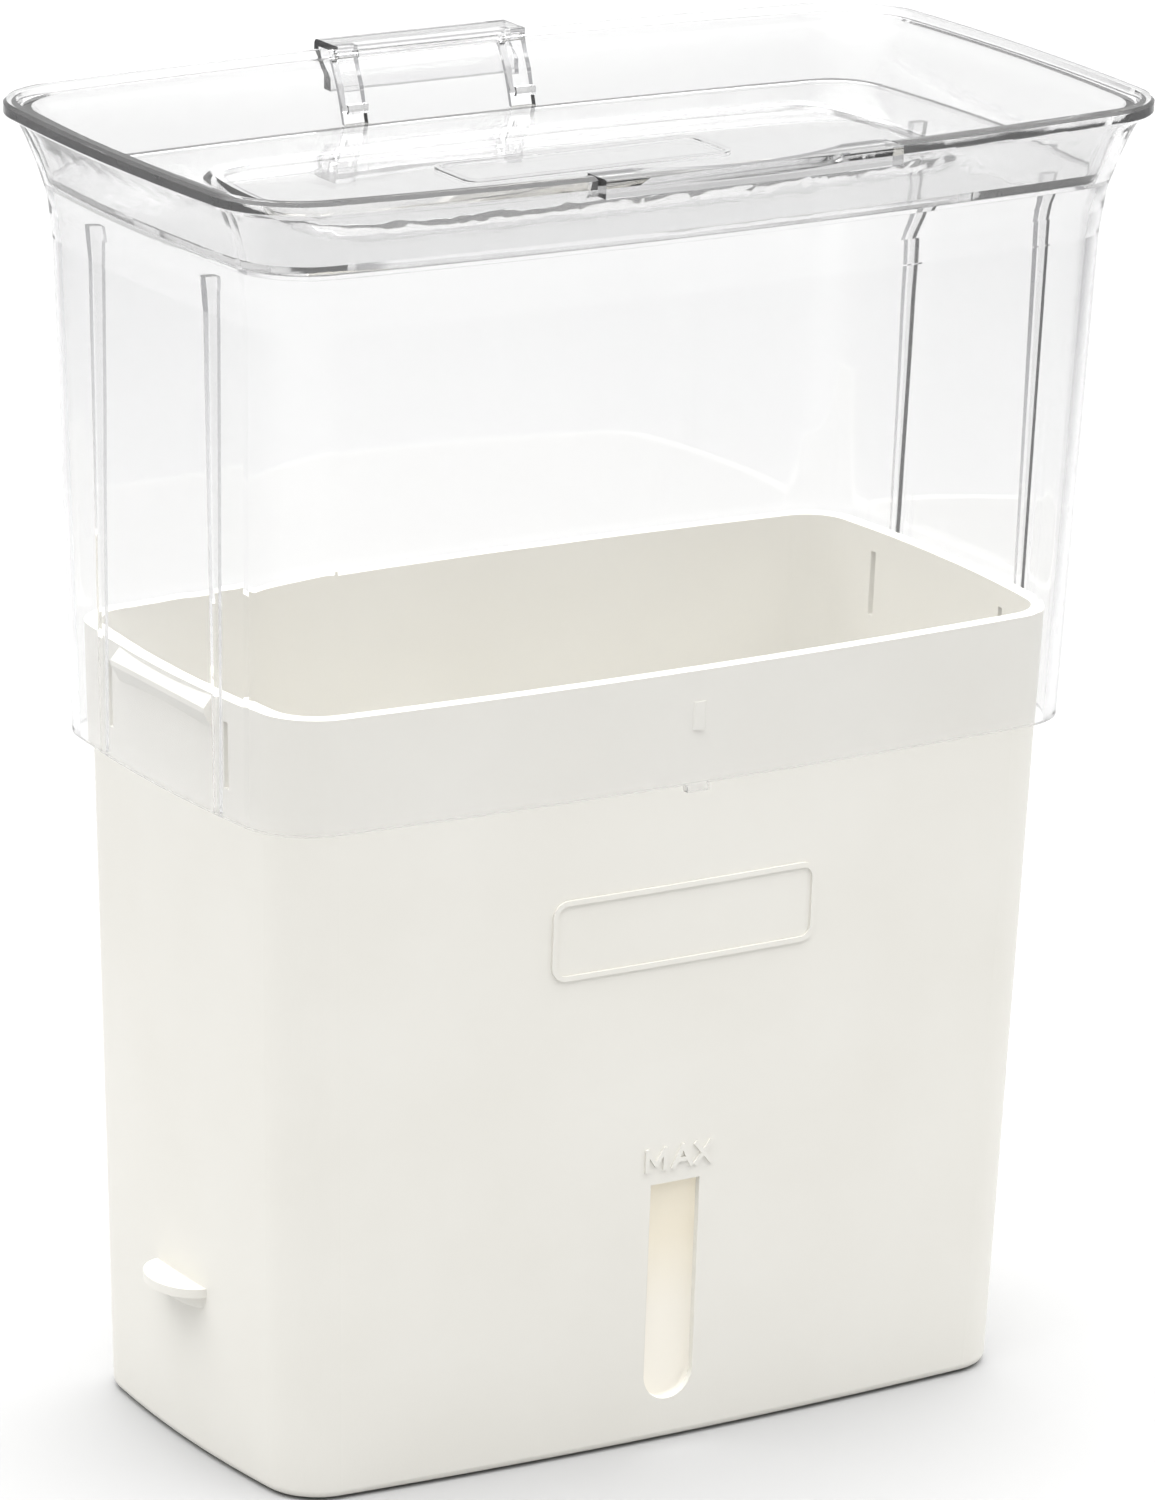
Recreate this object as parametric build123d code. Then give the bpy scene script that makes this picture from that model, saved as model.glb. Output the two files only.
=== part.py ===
"""Fresh-herb keeper: a cream water tub, a clear sleeve that slides up and down on it,
a clear recessed flip lid and the clear clip that hinges the lid to the rear rim.

Millimetres, +Z up, the tub stands on z = 0, front towards -Y, width along X.
The sleeve is drawn fully raised and the lid closed.
"""
import os

from build123d import *

os.makedirs("parts", exist_ok=True)

# ---- tub -------------------------------------------------------------------------------
TUB_HEIGHT = 124.5
TUB_BASE_HALF_WIDTH = 63.9
TUB_BASE_HALF_DEPTH = 31.2
TUB_TOP_HALF_WIDTH = 68.0
TUB_TOP_HALF_DEPTH = 33.5
TUB_BOW_WIDTH = 2.3
TUB_BOW_DEPTH = 2.6
TUB_CORNER = 9.0
TUB_WALL = 2.2
TUB_FLOOR = 2.6
TUB_EDGE = 1.2
GRIP_TOP = 27.5
GRIP_REACH = 72.3
GRIP_CENTRE = 66.5
GRIP_HALF_WIDTH = 7.75
GRIP_PLATE = 1.4
GRIP_GUSSET = 2.0
GRIP_PLATE_REACH = 5.8
GRIP_GUSSET_FOOT = 2.4
GRIP_GUSSET_HEAD = 5.4
GRIP_ROOT_INSIDE = 65.1
END_LIP_HALF_WIDTH = 14.3
END_LIP_ROOT = 67.0
END_LIP_WALL = 69.6
END_LIP_TIP = 71.3
END_LIP_TIP_TOP = 122.4
END_LIP_TIP_BOTTOM = 121.6
END_LIP_FOOT = 118.6
SLIT_WIDTH = 1.2
SLIT_HEIGHT = 10.4
SLIT_DEPTH = 14.0
SLIT_CENTRE_Z = 115.8
SLIT_CENTRE_Y = 17.8
LABEL_WIDTH = 47.0
LABEL_HEIGHT = 12.8
LABEL_CORNER = 2.6
LABEL_LINE = 0.8
TUB_LABEL_Z = 84.4
MARK_FOOT_Z = 44.8
MARK_STROKE = 0.7
MARK_STROKE_END = 0.42
MARK_STROKES = (
    ((-5.3, 0.0), (-5.3, 3.3)),
    ((-5.3, 3.3), (-3.7, 0.9)),
    ((-3.7, 0.9), (-2.1, 3.3)),
    ((-2.1, 3.3), (-2.1, 0.0)),
    ((-0.6, 0.0), (1.05, 3.3)),
    ((1.05, 3.3), (2.7, 0.0)),
    ((0.0, 1.1), (2.1, 1.1)),
    ((3.4, 0.0), (6.2, 3.3)),
    ((3.4, 3.3), (6.2, 0.0)),
)
RELIEF = 0.35
RELIEF_ROOT = 0.3
BUMP_X = 0.6
BUMP_Y = -35.2
BUMP_Z = 117.4
BUMP_WIDTH = 2.4
BUMP_DEPTH = 2.2
BUMP_HEIGHT = 4.4
BUMP_CORNER = 0.6

# ---- sleeve ----------------------------------------------------------------------------
SLEEVE_BOTTOM = 107.0
SLEEVE_WALL = 1.7
SLEEVE_HALF_WIDTH = 70.7
SLEEVE_HALF_DEPTH = 35.3
SLEEVE_DRAFT_WIDTH = 0.035
SLEEVE_DRAFT_DEPTH = 0.030
SLEEVE_CORNER = 11.0
FLARE_START = 184.0
NECK_TOP = 188.0
FLARE_SHARES = (
    (184.0, 0.0),
    (188.0, 0.06),
    (192.3, 0.16),
    (197.1, 0.39),
    (200.2, 0.58),
    (202.3, 0.76),
    (205.0, 1.0),
)
FLARE_STATIONS = (192.3, 197.1, 200.2)
STATION_MARGIN = 1.0
FLARE_WIDTH = 5.9
FLARE_DEPTH = 4.3
FLARE_BOW = 2.2
FLARE_CORNER = 3.0
RIM_UNDERSIDE = 203.0
RIM_TOP = 205.0
RIM_LIP = 1.8
RIM_EDGE = 0.5
MOUTH_START = 202.3
LEDGE_UNDERSIDE = 192.2
LEDGE_TOP = 192.9
LEDGE_REACH = 1.2
NOTCH_BOTTOM = 201.7
GUIDE_TOP = 189.3
GUIDE_CENTRE = 17.5
GUIDE_WIDTH = 1.6
GUIDE_FACE_BOTTOM = 70.1
GUIDE_FACE_TOP = 71.6
STOP_TAB_WIDTH = 3.8
STOP_TAB_DEPTH = 1.4
STOP_TAB_HEIGHT = 3.2
STOP_TAB_Y = -37.2
STOP_TAB_Z = 107.4
NOTCH_SIDE_GAP = 0.3
NOTCH_DEPTH = 20.0
NOTCH_Y = -50.0

# ---- lid -------------------------------------------------------------------------------
LID_GAP = 0.35
LID_THICKNESS = 1.4
TRAY_WALL = 1.2
TRAY_TOP = 203.9
PANEL_HALF_WIDTH = 54.0
PANEL_HALF_DEPTH = 20.4
PANEL_BOW_WIDTH = 3.0
PANEL_BOW_DEPTH = 2.8
PANEL_CORNER = 7.0
PANEL_RISE = 1.1
PANEL_WALL = 1.5
PANEL_SLOPE = 0.8
LID_LABEL_Y = -0.5
TAB_HALF_WIDTH = 25.8
TAB_FRONT = 49.2
TAB_THICKNESS = 2.9
TAB_EDGE_HALF_WIDTH = 79.0
TAB_BOW = 4.8
TAB_CORNER = 13.0
SCOOP_CHORD = 38.0
SCOOP_SAGITTA = 4.4
SCOOP_FLOOR = 0.8
SCOOP_CHORD_Y = -43.3
HINGE_Y = 43.3
HINGE_Z = 204.3
BARREL_RADIUS = 0.7
BARREL_HALF_LENGTH = 12.6
PIN_RADIUS = 0.5
PIN_END = 16.2
LEG_GAP_INNER = 12.9
LEG_GAP_OUTER = 17.2
LEG_GAP_Y = 45.0
LEG_GAP_DEPTH = 20.0
LEG_GAP_HEIGHT = 20.0

# ---- hinge clip ------------------------------------------------------------------------
CLIP_CENTRE = -1.8
CLIP_HALF_WIDTH = 16.8
CLIP_LEG_WIDTH = 3.5
CLIP_TOP = 206.1
CLIP_BACK = 49.2
STRAP_INNER_FACE = 43.9
CLIP_SKIRT = 1.4
CLIP_BEAD_DEPTH = 2.0
BEAD_FRONT = 44.9
BEAD_TOP = 200.2
STRAP_CLEARANCE = 0.05
STRAP_ROUNDING = 0.9
LEG_OUTLINE = (
    (38.2, 196.2),
    (40.5, 196.2),
    (42.2, 200.2),
    (43.3, 202.3),
    (44.7, 204.9),
    (44.7, 206.1),
    (41.9, 206.1),
    (41.9, 204.6),
    (41.0, 202.3),
    (39.9, 200.2),
    (39.2, 197.6),
    (38.2, 197.6),
)
CLIP_SKIRT_BOTTOM = 198.2
PIN_CLEARANCE = 0.05

# ---- sight window ----------------------------------------------------------------------
SLOT_WIDTH = 8.8
SLOT_BOTTOM = 6.6
SLOT_TOP = 42.4
WINDOW_GAP = 0.1
FLANGE_HALF_WIDTH = 25.5
FLANGE_BOTTOM = 4.0
FLANGE_TOP = 46.5
FLANGE_THICKNESS = 1.6
FLANGE_CORNER = 3.0
FLANGE_GAP = 0.05
PLUG_INSET = 0.9
PLUG_BACK = 30.5
SLOT_BACK = 20.0
CUT_REACH = 60.0


def bowed(half_width, half_depth, bow_width, bow_depth, corner, z):
    """Rounded rectangle whose four sides bulge outwards; half sizes are at the corners."""
    front_left = (-half_width, -half_depth)
    front_right = (half_width, -half_depth)
    rear_right = (half_width, half_depth)
    rear_left = (-half_width, half_depth)
    with BuildSketch(Plane.XY.offset(z)) as sketch:
        with BuildLine():
            ThreePointArc(front_left, (0, -half_depth - bow_depth), front_right)
            ThreePointArc(front_right, (half_width + bow_width, 0), rear_right)
            ThreePointArc(rear_right, (0, half_depth + bow_depth), rear_left)
            ThreePointArc(rear_left, (-half_width - bow_width, 0), front_left)
        make_face()
        fillet(sketch.vertices(), corner)
    return sketch.sketch


def tub_section(z, inset):
    """Outline of the tub at height z, moved inwards by inset."""
    part_way = z / TUB_HEIGHT
    half_width = TUB_BASE_HALF_WIDTH + (TUB_TOP_HALF_WIDTH - TUB_BASE_HALF_WIDTH) * part_way
    half_depth = TUB_BASE_HALF_DEPTH + (TUB_TOP_HALF_DEPTH - TUB_BASE_HALF_DEPTH) * part_way
    corner = TUB_CORNER - inset
    return bowed(half_width - inset, half_depth - inset, TUB_BOW_WIDTH, TUB_BOW_DEPTH, corner, z)


def tub_core(bottom, top, inset):
    """Solid inside the tub outline between two heights."""
    return loft([tub_section(bottom, inset), tub_section(top, inset)], ruled=True)


def flare_amount(z):
    """How far the mouth has opened at height z: 0 on the straight wall, 1 at the rim."""
    if z <= FLARE_START:
        return 0.0
    for lower, upper in zip(FLARE_SHARES, FLARE_SHARES[1:]):
        if z <= upper[0]:
            part_way = (z - lower[0]) / (upper[0] - lower[0])
            return lower[1] + (upper[1] - lower[1]) * part_way
    return 1.0


def sleeve_section(z, inset):
    """Outline of the sleeve at height z, moved inwards by inset."""
    opened = flare_amount(z)
    rise = z - SLEEVE_BOTTOM
    half_width = SLEEVE_HALF_WIDTH + SLEEVE_DRAFT_WIDTH * rise + FLARE_WIDTH * opened - inset
    half_depth = SLEEVE_HALF_DEPTH + SLEEVE_DRAFT_DEPTH * rise + FLARE_DEPTH * opened - inset
    bow_depth = TUB_BOW_DEPTH + FLARE_BOW * opened
    corner = SLEEVE_CORNER + FLARE_CORNER * opened - inset
    return bowed(half_width, half_depth, TUB_BOW_WIDTH, bow_depth, corner, z)


def flare_core(bottom, top, inset):
    """Solid inside the flared mouth between two heights."""
    heights = [bottom]
    for z in FLARE_STATIONS:
        if bottom + STATION_MARGIN < z < top - STATION_MARGIN:
            heights.append(z)
    heights.append(top)
    return loft([sleeve_section(z, inset) for z in heights])


def mouth_core(bottom, inset, rim_inset):
    """Solid inside the flared mouth up to the rim, with its own inset at the rim."""
    lower = flare_core(bottom, MOUTH_START, inset)
    upper = loft([sleeve_section(MOUTH_START, inset), sleeve_section(RIM_TOP, rim_inset)], ruled=True)
    return lower + upper


def sleeve_outside():
    straight = loft([sleeve_section(SLEEVE_BOTTOM, 0), sleeve_section(FLARE_START, 0)], ruled=True)
    neck = loft([sleeve_section(FLARE_START, 0), sleeve_section(NECK_TOP, 0)], ruled=True)
    mouth = flare_core(NECK_TOP, RIM_UNDERSIDE, 0)
    lip = extrude(sleeve_section(RIM_TOP, 0), -(RIM_TOP - RIM_UNDERSIDE))
    lip = chamfer(lip.edges().group_by(Axis.Z)[-1], RIM_EDGE)
    lip = fillet(lip.edges().group_by(Axis.Z)[0], RIM_EDGE / 2)
    return straight + neck + mouth + lip


def sleeve_inside():
    wall = SLEEVE_WALL
    below = LEDGE_UNDERSIDE
    straight = loft([sleeve_section(SLEEVE_BOTTOM, wall), sleeve_section(FLARE_START, wall)], ruled=True)
    neck = loft([sleeve_section(FLARE_START, wall), sleeve_section(NECK_TOP, wall)], ruled=True)
    neck = neck + loft([sleeve_section(NECK_TOP, wall), sleeve_section(below, wall)], ruled=True)
    ledge = extrude(sleeve_section(below, wall + LEDGE_REACH), LEDGE_TOP - below)
    return straight + neck + ledge + mouth_core(LEDGE_TOP, wall, RIM_LIP)


def guide_ribs(outside):
    """Two thin ribs on each short wall; the tub's end lip runs between them."""
    far = GUIDE_FACE_TOP + 10
    outline = [
        (GUIDE_FACE_BOTTOM, SLEEVE_BOTTOM),
        (far, SLEEVE_BOTTOM),
        (far, GUIDE_TOP),
        (GUIDE_FACE_TOP, GUIDE_TOP),
    ]
    fin = extrude(make_face(Plane.XZ * Polyline(outline, close=True)), amount=GUIDE_WIDTH / 2, both=True)
    ribs = []
    for centre in (-GUIDE_CENTRE, GUIDE_CENTRE):
        rib = Pos(0, centre, 0) * fin
        ribs.append(rib & outside)
        ribs.append(mirror(rib, Plane.YZ) & outside)
    return ribs


def build_sleeve():
    outside = sleeve_outside()
    body = outside - sleeve_inside()
    for rib in guide_ribs(outside):
        body = body + rib
    notch_height = 2 * (RIM_TOP - NOTCH_BOTTOM)
    notch_width = 2 * (TAB_HALF_WIDTH + NOTCH_SIDE_GAP)
    notch = Pos(0, NOTCH_Y, RIM_TOP) * Box(notch_width, NOTCH_DEPTH, notch_height)
    body = body - notch
    stop_tab = Pos(0, STOP_TAB_Y, STOP_TAB_Z) * Box(STOP_TAB_WIDTH, STOP_TAB_DEPTH, STOP_TAB_HEIGHT)
    return body + stop_tab


def letter_bars():
    """The three letters of the fill mark as flat strokes in the XZ plane."""
    strokes = []
    for foot, head in MARK_STROKES:
        line = Plane.XZ * Line(foot, head)
        bar_plane = Plane(origin=line @ 0.5, x_dir=line % 0.5, z_dir=(0, -1, 0))
        strokes.append(bar_plane * Rectangle(line.length + MARK_STROKE_END, MARK_STROKE))
    return strokes


def raised_on_front(outline_faces):
    """Thin relief on the tub's front face, following its curve."""
    skin = tub_core(0, TUB_HEIGHT, -RELIEF) - tub_core(0, TUB_HEIGHT, RELIEF_ROOT)
    relief = []
    for face in outline_faces:
        relief.append(skin & extrude(face, amount=CUT_REACH, dir=(0, -1, 0)))
    return relief


def slot_prism(gap, back):
    """Sight slot: square at the top, round at the bottom. It runs forward from the plane y = -back."""
    half = SLOT_WIDTH / 2 - gap
    top = SLOT_TOP - gap
    round_centre = SLOT_BOTTOM + SLOT_WIDTH / 2
    rectangle = Pos(0, (round_centre + top) / 2) * Rectangle(2 * half, top - round_centre)
    outline = rectangle + Pos(0, round_centre) * Circle(half)
    return extrude(Pos(0, -back, 0) * (Plane.XZ * outline), amount=CUT_REACH - back)


def grip_ledge(side):
    """Half-round fingertip ledge near the foot of a short wall."""
    plate_bottom = GRIP_TOP - GRIP_PLATE
    gusset_bottom = plate_bottom - GRIP_GUSSET
    centre = side * GRIP_CENTRE
    plate = Pos(centre, 0, plate_bottom) * extrude(Ellipse(GRIP_PLATE_REACH, GRIP_HALF_WIDTH), GRIP_PLATE)
    gusset_foot = Pos(centre, 0, gusset_bottom) * Ellipse(GRIP_GUSSET_FOOT, GRIP_HALF_WIDTH * 0.9)
    gusset_head = Pos(centre, 0, plate_bottom) * Ellipse(GRIP_GUSSET_HEAD, GRIP_HALF_WIDTH * 0.98)
    gusset = loft([gusset_foot, gusset_head], ruled=True)
    outer_width = 2 * (GRIP_REACH - GRIP_ROOT_INSIDE)
    outside_only = Pos(side * GRIP_REACH, 0, GRIP_TOP) * Box(outer_width, 4 * GRIP_HALF_WIDTH, GRIP_TOP)
    return (plate + gusset) & outside_only


def end_lip(side):
    """Ramped lip between the guide ribs at the top of a short wall."""
    outline = [
        (END_LIP_ROOT, TUB_HEIGHT),
        (END_LIP_WALL, TUB_HEIGHT),
        (END_LIP_TIP, END_LIP_TIP_TOP),
        (END_LIP_TIP, END_LIP_TIP_BOTTOM),
        (END_LIP_WALL, END_LIP_FOOT),
        (END_LIP_ROOT, END_LIP_FOOT),
    ]
    profile = Plane.XZ * Polyline(outline, close=True)
    bar = extrude(make_face(profile), amount=END_LIP_HALF_WIDTH, both=True)
    return bar if side > 0 else mirror(bar, Plane.YZ)


def label_frame(width, height):
    """Blank label: a thin rounded rectangular line."""
    outer = RectangleRounded(width, height, LABEL_CORNER)
    inner = RectangleRounded(width - 2 * LABEL_LINE, height - 2 * LABEL_LINE, LABEL_CORNER - LABEL_LINE)
    return outer - inner


def build_tub():
    outside = tub_core(0, TUB_HEIGHT, 0)
    outside = fillet(outside.edges().group_by(Axis.Z)[0], TUB_EDGE)
    for side in (-1, 1):
        outside = outside + grip_ledge(side)
        outside = outside + end_lip(side)
    cavity = tub_core(TUB_FLOOR, TUB_HEIGHT + 1, TUB_WALL)
    body = outside - cavity
    body = body - slot_prism(0, SLOT_BACK)
    for side in (-1, 1):
        for centre in (-SLIT_CENTRE_Y, SLIT_CENTRE_Y):
            slit = Box(SLIT_DEPTH, SLIT_WIDTH, SLIT_HEIGHT)
            body = body - Pos(side * TUB_TOP_HALF_WIDTH, centre, SLIT_CENTRE_Z) * slit
    frame = Plane.XZ * label_frame(LABEL_WIDTH, LABEL_HEIGHT)
    mark_bars = [Pos(0, 0, MARK_FOOT_Z) * bar for bar in letter_bars()]
    for relief in raised_on_front([Pos(0, 0, TUB_LABEL_Z) * frame] + mark_bars):
        body = body + relief
    bump_outline = RectangleRounded(BUMP_WIDTH, BUMP_DEPTH, BUMP_CORNER)
    bump = Pos(BUMP_X, BUMP_Y, BUMP_Z) * extrude(bump_outline, BUMP_HEIGHT / 2, both=True)
    return body + bump


def build_window():
    """Flange glued inside the front wall and the plug that fills the sight slot."""
    face = TUB_WALL + FLANGE_GAP
    band = tub_core(FLANGE_BOTTOM, FLANGE_TOP, face) - tub_core(0, TUB_HEIGHT, face + FLANGE_THICKNESS)
    outline = RectangleRounded(2 * FLANGE_HALF_WIDTH, FLANGE_TOP - FLANGE_BOTTOM, FLANGE_CORNER)
    plate = Plane.XZ * (Pos(0, (FLANGE_BOTTOM + FLANGE_TOP) / 2) * outline)
    flange = band & extrude(plate, amount=CUT_REACH, dir=(0, -1, 0))
    plug = tub_core(0, TUB_HEIGHT, PLUG_INSET) & slot_prism(WINDOW_GAP, PLUG_BACK)
    return flange + plug


def tray_shell():
    """The lid's tray: flat floor and a flared wall nested in the sleeve's mouth."""
    outer_inset = SLEEVE_WALL + LID_GAP
    inner_inset = outer_inset + TRAY_WALL
    outer = mouth_core(LEDGE_TOP, outer_inset, RIM_LIP + LID_GAP)
    inner = mouth_core(LEDGE_TOP + LID_THICKNESS, inner_inset, RIM_LIP + LID_GAP + TRAY_WALL)
    shell = outer - inner
    shell = shell - extrude(sleeve_section(RIM_TOP, 0), TRAY_TOP - RIM_TOP)
    gap_width = LEG_GAP_OUTER - LEG_GAP_INNER
    gap_bottom = LEDGE_TOP + LID_THICKNESS
    for side in (-1, 1):
        centre = CLIP_CENTRE + side * (LEG_GAP_INNER + gap_width / 2)
        gap = Box(gap_width, LEG_GAP_DEPTH, LEG_GAP_HEIGHT)
        shell = shell - Pos(centre, LEG_GAP_Y, gap_bottom + LEG_GAP_HEIGHT / 2) * gap
    return shell


def lifting_tab():
    """Tab that bridges the rim notch, with a crescent scoop for a fingertip."""
    inner_edge = sleeve_section(RIM_TOP, RIM_LIP + LID_GAP + TRAY_WALL)
    front_edge = bowed(TAB_EDGE_HALF_WIDTH, TAB_FRONT - TAB_BOW, TUB_BOW_WIDTH, TAB_BOW, TAB_CORNER, RIM_TOP)
    tab_only = Pos(0, -TAB_FRONT, RIM_TOP) * Box(2 * TAB_HALF_WIDTH, TAB_FRONT, 4 * TAB_THICKNESS)
    tab = extrude(front_edge - inner_edge, -TAB_THICKNESS) & tab_only
    radius = (SCOOP_CHORD**2 / 4 + SCOOP_SAGITTA**2) / (2 * SCOOP_SAGITTA)
    centre_y = SCOOP_CHORD_Y - SCOOP_SAGITTA + radius
    front_half = Pos(0, SCOOP_CHORD_Y - radius / 2) * Rectangle(2 * radius, radius)
    segment = Pos(0, centre_y) * Circle(radius) & front_half
    scoop = Pos(0, 0, RIM_TOP - TAB_THICKNESS + SCOOP_FLOOR) * extrude(segment, TAB_THICKNESS)
    return tab - scoop


def rear_hinge():
    """Barrel along the top of the tray's rear wall and the stub pins in the clip's legs."""
    along_width = Pos(CLIP_CENTRE, HINGE_Y, HINGE_Z) * Rot(0, 90, 0)
    barrel = along_width * Cylinder(BARREL_RADIUS, 2 * BARREL_HALF_LENGTH)
    pins = along_width * Cylinder(PIN_RADIUS, 2 * PIN_END)
    return barrel + pins


def panel_section(z, inset):
    """Outline of the lid's raised panel."""
    half_width = PANEL_HALF_WIDTH - inset
    half_depth = PANEL_HALF_DEPTH - inset
    return bowed(half_width, half_depth, PANEL_BOW_WIDTH, PANEL_BOW_DEPTH, PANEL_CORNER, z)


def build_lid():
    brim_top = LEDGE_TOP + LID_THICKNESS
    panel_top = brim_top + PANEL_RISE
    panel = loft([panel_section(brim_top, -PANEL_SLOPE), panel_section(panel_top, 0)], ruled=True)
    hollow_height = panel_top - PANEL_WALL - LEDGE_TOP
    hollow = extrude(panel_section(LEDGE_TOP, PANEL_WALL), hollow_height)
    frame = Pos(0, LID_LABEL_Y, panel_top) * extrude(label_frame(LABEL_WIDTH, LABEL_HEIGHT), RELIEF)
    body = tray_shell() + panel - hollow + frame
    return body + lifting_tab() + rear_hinge()


def clip_leg(side):
    """Inner leg lying along the flared rear wall, with a thicker foot and the pin hole."""
    profile = Plane.YZ * Polyline(LEG_OUTLINE, close=True)
    centre = side * (CLIP_HALF_WIDTH - CLIP_LEG_WIDTH / 2)
    leg = Pos(centre, 0, 0) * extrude(make_face(profile), amount=CLIP_LEG_WIDTH / 2, both=True)
    bore = Cylinder(PIN_RADIUS + PIN_CLEARANCE, 2 * CLIP_LEG_WIDTH)
    return leg - Pos(centre, HINGE_Y, HINGE_Z) * Rot(0, 90, 0) * bore


def build_clip():
    """Strap over the rim, full-width outer skirt with a bead, and the two inner legs."""
    outline = [
        (STRAP_INNER_FACE, RIM_TOP + STRAP_CLEARANCE),
        (CLIP_BACK - CLIP_SKIRT, RIM_TOP + STRAP_CLEARANCE),
        (CLIP_BACK - CLIP_SKIRT, RIM_UNDERSIDE),
        (BEAD_FRONT, BEAD_TOP),
        (BEAD_FRONT, CLIP_SKIRT_BOTTOM),
        (BEAD_FRONT + CLIP_BEAD_DEPTH, CLIP_SKIRT_BOTTOM),
        (BEAD_FRONT + CLIP_BEAD_DEPTH, BEAD_TOP),
        (CLIP_BACK, RIM_UNDERSIDE),
        (CLIP_BACK, CLIP_TOP),
        (STRAP_INNER_FACE, CLIP_TOP),
    ]
    profile = make_face(Plane.YZ * Polyline(outline, close=True))
    outside = extrude(profile, amount=CLIP_HALF_WIDTH, both=True)
    top_edges = outside.edges().filter_by(Axis.X).sort_by(Axis.Z)[-2:]
    outside = fillet(top_edges.sort_by(Axis.Y)[-1:], STRAP_ROUNDING)
    return Pos(CLIP_CENTRE, 0, 0) * (outside + clip_leg(-1) + clip_leg(1))


tub = build_tub()
window = build_window()
sleeve = build_sleeve()
lid = build_lid()
hinge_clip = build_clip()

export_step(tub, "parts/tub.step")
export_step(window, "parts/sight_window.step")
export_step(sleeve, "parts/sleeve.step")
export_step(lid, "parts/lid.step")
export_step(hinge_clip, "parts/hinge_clip.step")
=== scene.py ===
"""Looks of the fresh-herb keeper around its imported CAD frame. Metres, +Z up, front towards -Y."""
import math

import bpy
from mathutils import Matrix, Vector

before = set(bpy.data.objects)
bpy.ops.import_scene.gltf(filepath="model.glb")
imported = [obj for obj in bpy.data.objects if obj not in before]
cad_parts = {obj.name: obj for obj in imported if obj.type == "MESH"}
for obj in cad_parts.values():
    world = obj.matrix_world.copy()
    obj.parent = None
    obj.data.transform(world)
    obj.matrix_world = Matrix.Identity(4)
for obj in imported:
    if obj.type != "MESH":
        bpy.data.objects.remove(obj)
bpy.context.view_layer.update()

# ---- materials -------------------------------------------------------------------------
# A noise texture keeps mostly between these two values, so they are its working range.
NOISE_LOW = 0.3
NOISE_HIGH = 0.7

CREAM_DARK = (0.728, 0.712, 0.660, 1)
CREAM_LIGHT = (0.750, 0.736, 0.688, 1)
CREAM_ROUGHNESS = (0.42, 0.52)
CREAM_CLOUD_SCALE = 35.0
CREAM_GRAIN_SCALE = 2600.0
CREAM_GRAIN_STRENGTH = 0.12
CREAM_GRAIN_DEPTH = 0.00006
CREAM_IOR = 1.49

CLEAR_IOR = 1.50
HAZE_SCALE = 60.0
WAVE_SCALE = 28.0
WAVE_DEPTH = 0.0006
PASSING_LIGHT = (0.995, 0.995, 0.995, 1)

GLOSS_ROUGHNESS = (0.01, 0.03)
GLOSS_WAVES = 0.25
CLARITY_SPREAD = 0.004

FROST_ROUGHNESS = (0.30, 0.40)
FROST_WAVES = 0.05
FROST_CLOUD_SCALE = 45.0
FROST_CLARITY = (0.46, 0.52)
FROST_PALE = (0.935, 0.905, 0.84, 1)
FROST_WARM = (0.92, 0.865, 0.745, 1)
FROST_PALE_UP_TO = 0.40
FROST_WARM_FROM = 0.70


def new_material(name):
    material = bpy.data.materials.new(name)
    material.use_nodes = True
    tree = material.node_tree
    shader = tree.nodes["Principled BSDF"]
    return material, tree, shader


def noise(tree, scale, detail):
    coords = tree.nodes.new("ShaderNodeTexCoord")
    texture = tree.nodes.new("ShaderNodeTexNoise")
    texture.inputs["Scale"].default_value = scale
    texture.inputs["Detail"].default_value = detail
    tree.links.new(coords.outputs["Object"], texture.inputs["Vector"])
    return texture.outputs["Fac"]


def ramp(tree, source, low, high, start=NOISE_LOW, end=NOISE_HIGH):
    """Colour that goes from low to high as the source goes from start to end."""
    node = tree.nodes.new("ShaderNodeValToRGB")
    first, last = node.color_ramp.elements
    first.position = start
    first.color = low
    last.position = end
    last.color = high
    tree.links.new(source, node.inputs["Fac"])
    return node.outputs["Color"]


def map_range(tree, source, low, high, start=NOISE_LOW, end=NOISE_HIGH):
    """Value that goes from low to high as the source goes from start to end."""
    node = tree.nodes.new("ShaderNodeMapRange")
    node.inputs["From Min"].default_value = start
    node.inputs["From Max"].default_value = end
    node.inputs["To Min"].default_value = low
    node.inputs["To Max"].default_value = high
    tree.links.new(source, node.inputs["Value"])
    return node.outputs["Result"]


def bump(tree, shader, source, strength, distance):
    node = tree.nodes.new("ShaderNodeBump")
    node.inputs["Strength"].default_value = strength
    node.inputs["Distance"].default_value = distance
    tree.links.new(source, node.inputs["Height"])
    tree.links.new(node.outputs["Normal"], shader.inputs["Normal"])


def cream_plastic():
    """Opaque cream plastic: faint clouds of colour under a fine matt grain."""
    material, tree, shader = new_material("cream_plastic")
    cloud = noise(tree, CREAM_CLOUD_SCALE, 3.0)
    tree.links.new(ramp(tree, cloud, CREAM_DARK, CREAM_LIGHT), shader.inputs["Base Color"])
    grain = noise(tree, CREAM_GRAIN_SCALE, 2.0)
    tree.links.new(map_range(tree, grain, *CREAM_ROUGHNESS), shader.inputs["Roughness"])
    bump(tree, shader, grain, CREAM_GRAIN_STRENGTH, CREAM_GRAIN_DEPTH)
    shader.inputs["IOR"].default_value = CREAM_IOR
    return material


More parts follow.
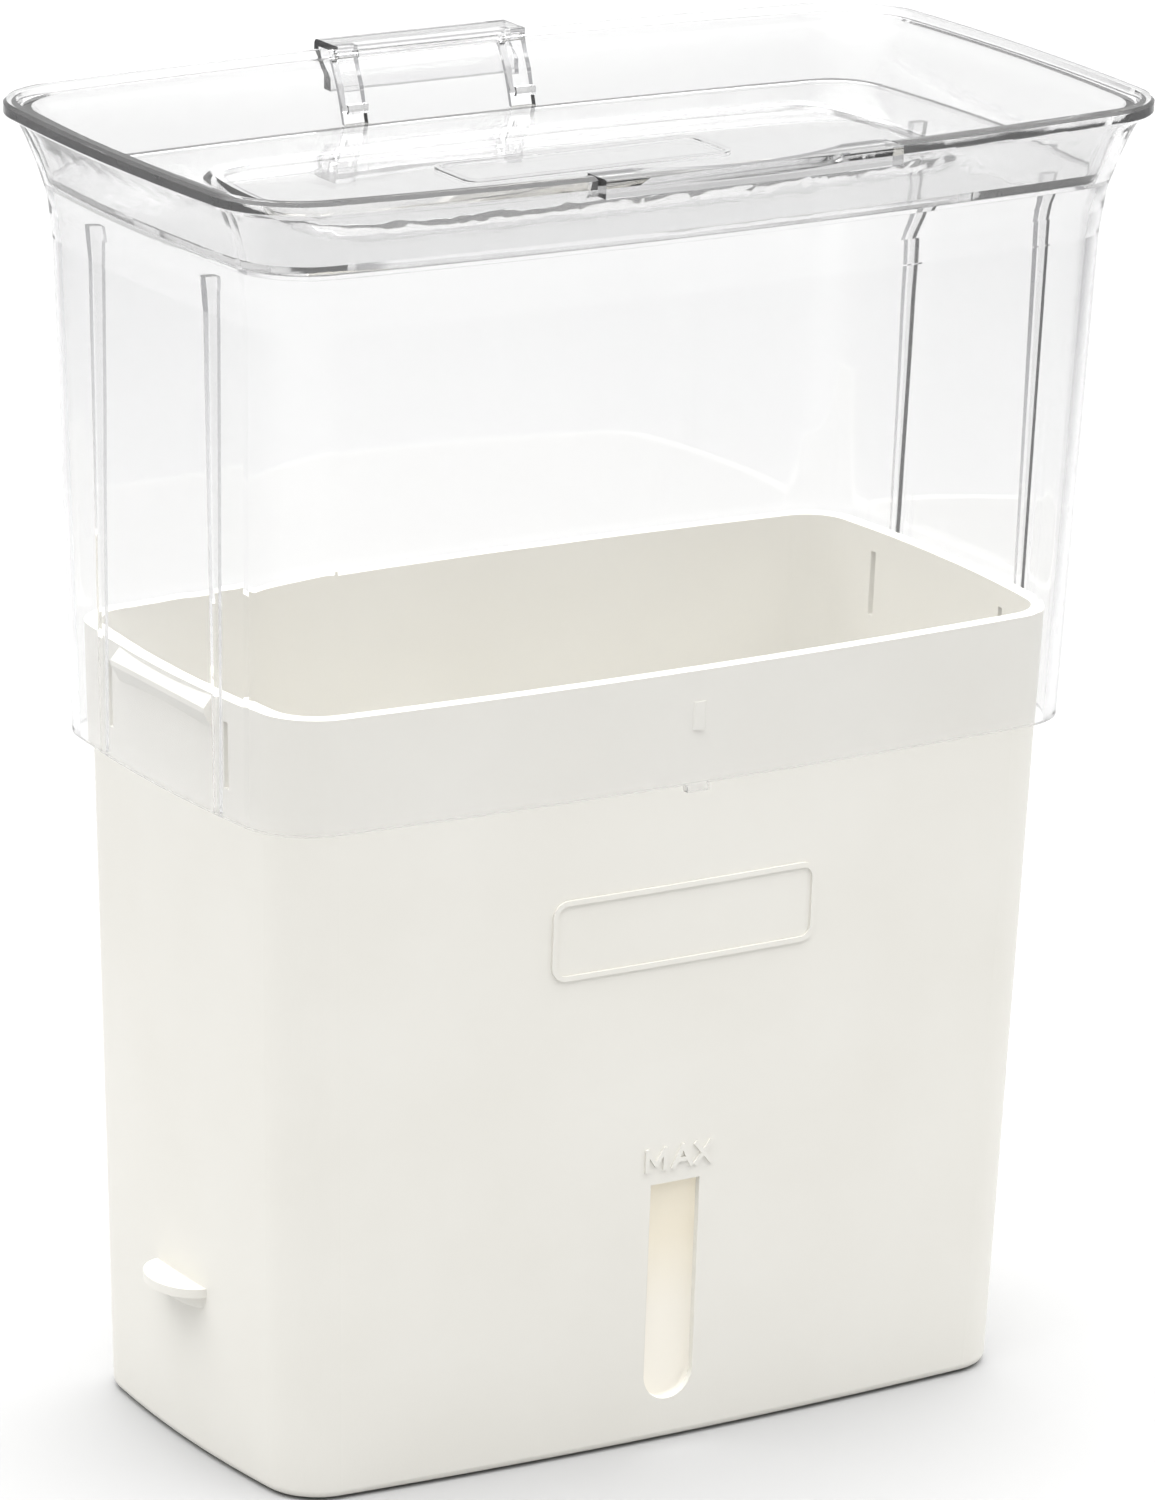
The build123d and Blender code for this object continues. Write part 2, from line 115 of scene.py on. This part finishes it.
def pass_light(tree, shader):
    """Light on its way to or from what is behind goes straight through, as through a thin wall."""
    rays = tree.nodes.new("ShaderNodeLightPath")
    passing = tree.nodes.new("ShaderNodeMath")
    passing.operation = "MAXIMUM"
    tree.links.new(rays.outputs["Is Shadow Ray"], passing.inputs[0])
    tree.links.new(rays.outputs["Is Diffuse Ray"], passing.inputs[1])
    through = tree.nodes.new("ShaderNodeBsdfTransparent")
    through.inputs["Color"].default_value = PASSING_LIGHT
    mix = tree.nodes.new("ShaderNodeMixShader")
    tree.links.new(passing.outputs["Value"], mix.inputs["Fac"])
    tree.links.new(shader.outputs["BSDF"], mix.inputs[1])
    tree.links.new(through.outputs["BSDF"], mix.inputs[2])
    tree.links.new(mix.outputs["Shader"], tree.nodes["Material Output"].inputs["Surface"])


def moulded_clear(name, roughness, waves):
    """What the clear mouldings share: uneven gloss, slow waves in the faces, passing light."""
    material, tree, shader = new_material(name)
    haze = noise(tree, HAZE_SCALE, 3.0)
    tree.links.new(map_range(tree, haze, *roughness), shader.inputs["Roughness"])
    shader.inputs["IOR"].default_value = CLEAR_IOR
    bump(tree, shader, noise(tree, WAVE_SCALE, 1.0), waves, WAVE_DEPTH)
    pass_light(tree, shader)
    return material, tree, shader, haze


def clear_plastic(name, colour, clarity):
    """Glossy clear plastic, milky by as much as its clarity falls short of 1."""
    material, tree, shader, haze = moulded_clear(name, GLOSS_ROUGHNESS, GLOSS_WAVES)
    shader.inputs["Base Color"].default_value = colour
    clearness = map_range(tree, haze, clarity - CLARITY_SPREAD, clarity + CLARITY_SPREAD)
    tree.links.new(clearness, shader.inputs["Transmission Weight"])
    return material


def frosted_plastic():
    """Cloudy insert of the sight slot: half clear, half milky, and warmer towards its top."""
    material, tree, shader, _ = moulded_clear("window_clear", FROST_ROUGHNESS, FROST_WAVES)
    cloud = noise(tree, FROST_CLOUD_SCALE, 1.0)
    tree.links.new(map_range(tree, cloud, *FROST_CLARITY), shader.inputs["Transmission Weight"])
    coords = tree.nodes.new("ShaderNodeTexCoord")
    split = tree.nodes.new("ShaderNodeSeparateXYZ")
    tree.links.new(coords.outputs["Generated"], split.inputs["Vector"])
    height = split.outputs["Z"]
    tint = ramp(tree, height, FROST_PALE, FROST_WARM, FROST_PALE_UP_TO, FROST_WARM_FROM)
    tree.links.new(tint, shader.inputs["Base Color"])
    return material


LOOKS = {
    "tub": cream_plastic(),
    "sight_window": frosted_plastic(),
    "sleeve": clear_plastic("sleeve_clear", (0.917, 0.917, 0.917, 1), 0.978),
    "lid": clear_plastic("lid_clear", (0.922, 0.922, 0.922, 1), 0.990),
    "hinge_clip": clear_plastic("clip_clear", (0.930, 0.930, 0.932, 1), 0.990),
}
for name, look in LOOKS.items():
    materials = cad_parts[name].data.materials
    materials.clear()
    materials.append(look)

# ---- stage, light and camera -----------------------------------------------------------
# The camera stands on the front left, looks down at TARGET and is tilted a little (ROLL).
AZIMUTH = math.radians(-31.59)
ELEVATION = math.radians(16.98)
ROLL = math.radians(1.36)
DISTANCE = 1.30689
TARGET = Vector((-0.00445, 0.0, 0.10257))
LENS = 203.56
SENSOR_WIDTH = 36.0
SHIFT_X = 0.0234
NEAR_CLIP = 0.05
FAR_CLIP = 50.0

FLOOR_REACH = 6.0
FLOOR_GAP = 0.0004
FLOOR_ROUGHNESS = 0.9
FLOOR_PALE = (0.425, 0.425, 0.425, 1)
# Painted shade: the floor is painted darker to both sides of the line of sight, in place of the
# studio's dim sides.
FLOOR_PAINTED_SHADE = (0.11, 0.11, 0.115, 1)
FLOOR_PALE_UP_TO = 0.27
FLOOR_PAINTED_SHADE_FROM = 0.75

# The sky's brightness by the height of the direction, from 0 level to 1 straight up.
SKY = ((0.0, 0.24), (0.10, 0.25), (0.30, 0.25), (0.60, 0.58), (0.82, 2.02))
# It is also brighter towards the rear right than towards the front left.
SKY_STRENGTH = (1.5, 2.9)
SKY_SIDEWAYS = 0.45
SKY_SPAN = 1.1


def build_floor():
    """Pale floor with painted shade: it darkens on both sides of the camera's line of sight,
    standing in for the unlit sides of the studio.
    """
    r = FLOOR_REACH
    mesh = bpy.data.meshes.new("floor")
    mesh.from_pydata([(-r, -r, 0), (r, -r, 0), (r, r, 0), (-r, r, 0)], [], [(0, 1, 2, 3)])
    floor = bpy.data.objects.new("floor", mesh)
    bpy.context.scene.collection.objects.link(floor)
    floor.location.z = -FLOOR_GAP
    material, tree, shader = new_material("pale_floor_painted_shade")
    coords = tree.nodes.new("ShaderNodeTexCoord")
    across = tree.nodes.new("ShaderNodeVectorMath")
    across.operation = "DOT_PRODUCT"
    across.inputs[1].default_value = (math.cos(AZIMUTH), math.sin(AZIMUTH), 0.0)
    tree.links.new(coords.outputs["Object"], across.inputs[0])
    offset = tree.nodes.new("ShaderNodeMath")
    offset.operation = "ABSOLUTE"
    tree.links.new(across.outputs["Value"], offset.inputs[0])
    aside = offset.outputs["Value"]
    # Painted shade: pale along the line of sight, darker further to either side.
    painted_side_shade = ramp(tree, aside, FLOOR_PALE, FLOOR_PAINTED_SHADE, FLOOR_PALE_UP_TO, FLOOR_PAINTED_SHADE_FROM)
    tree.links.new(painted_side_shade, shader.inputs["Base Color"])
    shader.inputs["Roughness"].default_value = FLOOR_ROUGHNESS
    mesh.materials.append(material)


def build_sky():
    """The only light: a grey sky, dim low down and bright overhead."""
    world = bpy.data.worlds.new("studio")
    bpy.context.scene.world = world
    world.use_nodes = True
    tree = world.node_tree
    background = tree.nodes["Background"]
    coords = tree.nodes.new("ShaderNodeTexCoord")
    split = tree.nodes.new("ShaderNodeSeparateXYZ")
    tree.links.new(coords.outputs["Generated"], split.inputs["Vector"])
    sky = tree.nodes.new("ShaderNodeValToRGB")
    tree.links.new(split.outputs["Z"], sky.inputs["Fac"])
    while len(sky.color_ramp.elements) < len(SKY):
        sky.color_ramp.elements.new(0.5)
    for element, (height, level) in zip(sky.color_ramp.elements, SKY):
        element.position = height
        element.color = (level, level, level, 1)
    tree.links.new(sky.outputs["Color"], background.inputs["Color"])
    lean = tree.nodes.new("ShaderNodeMath")
    lean.operation = "MULTIPLY_ADD"
    lean.inputs[1].default_value = SKY_SIDEWAYS
    tree.links.new(split.outputs["X"], lean.inputs[0])
    tree.links.new(split.outputs["Y"], lean.inputs[2])
    strength = map_range(tree, lean.outputs["Value"], *SKY_STRENGTH, -SKY_SPAN, SKY_SPAN)
    tree.links.new(strength, background.inputs["Strength"])


def build_camera():
    level = math.cos(ELEVATION)
    back = Vector((math.sin(AZIMUTH) * level, -math.cos(AZIMUTH) * level, math.sin(ELEVATION)))
    right = (-back).cross(Vector((0, 0, 1))).normalized()
    up = right.cross(-back)
    axis_x = right * math.cos(ROLL) + up * math.sin(ROLL)
    axis_y = up * math.cos(ROLL) - right * math.sin(ROLL)
    camera_data = bpy.data.cameras.new("camera")
    camera_data.sensor_width = SENSOR_WIDTH
    camera_data.lens = LENS
    camera_data.shift_x = SHIFT_X
    camera_data.clip_start = NEAR_CLIP
    camera_data.clip_end = FAR_CLIP
    camera = bpy.data.objects.new("camera", camera_data)
    bpy.context.scene.collection.objects.link(camera)
    place = Matrix((axis_x, axis_y, back)).transposed().to_4x4()
    place.translation = TARGET + back * DISTANCE
    camera.matrix_world = place
    bpy.context.scene.camera = camera


build_floor()
build_sky()
build_camera()
bpy.context.scene.view_settings.view_transform = "Standard"
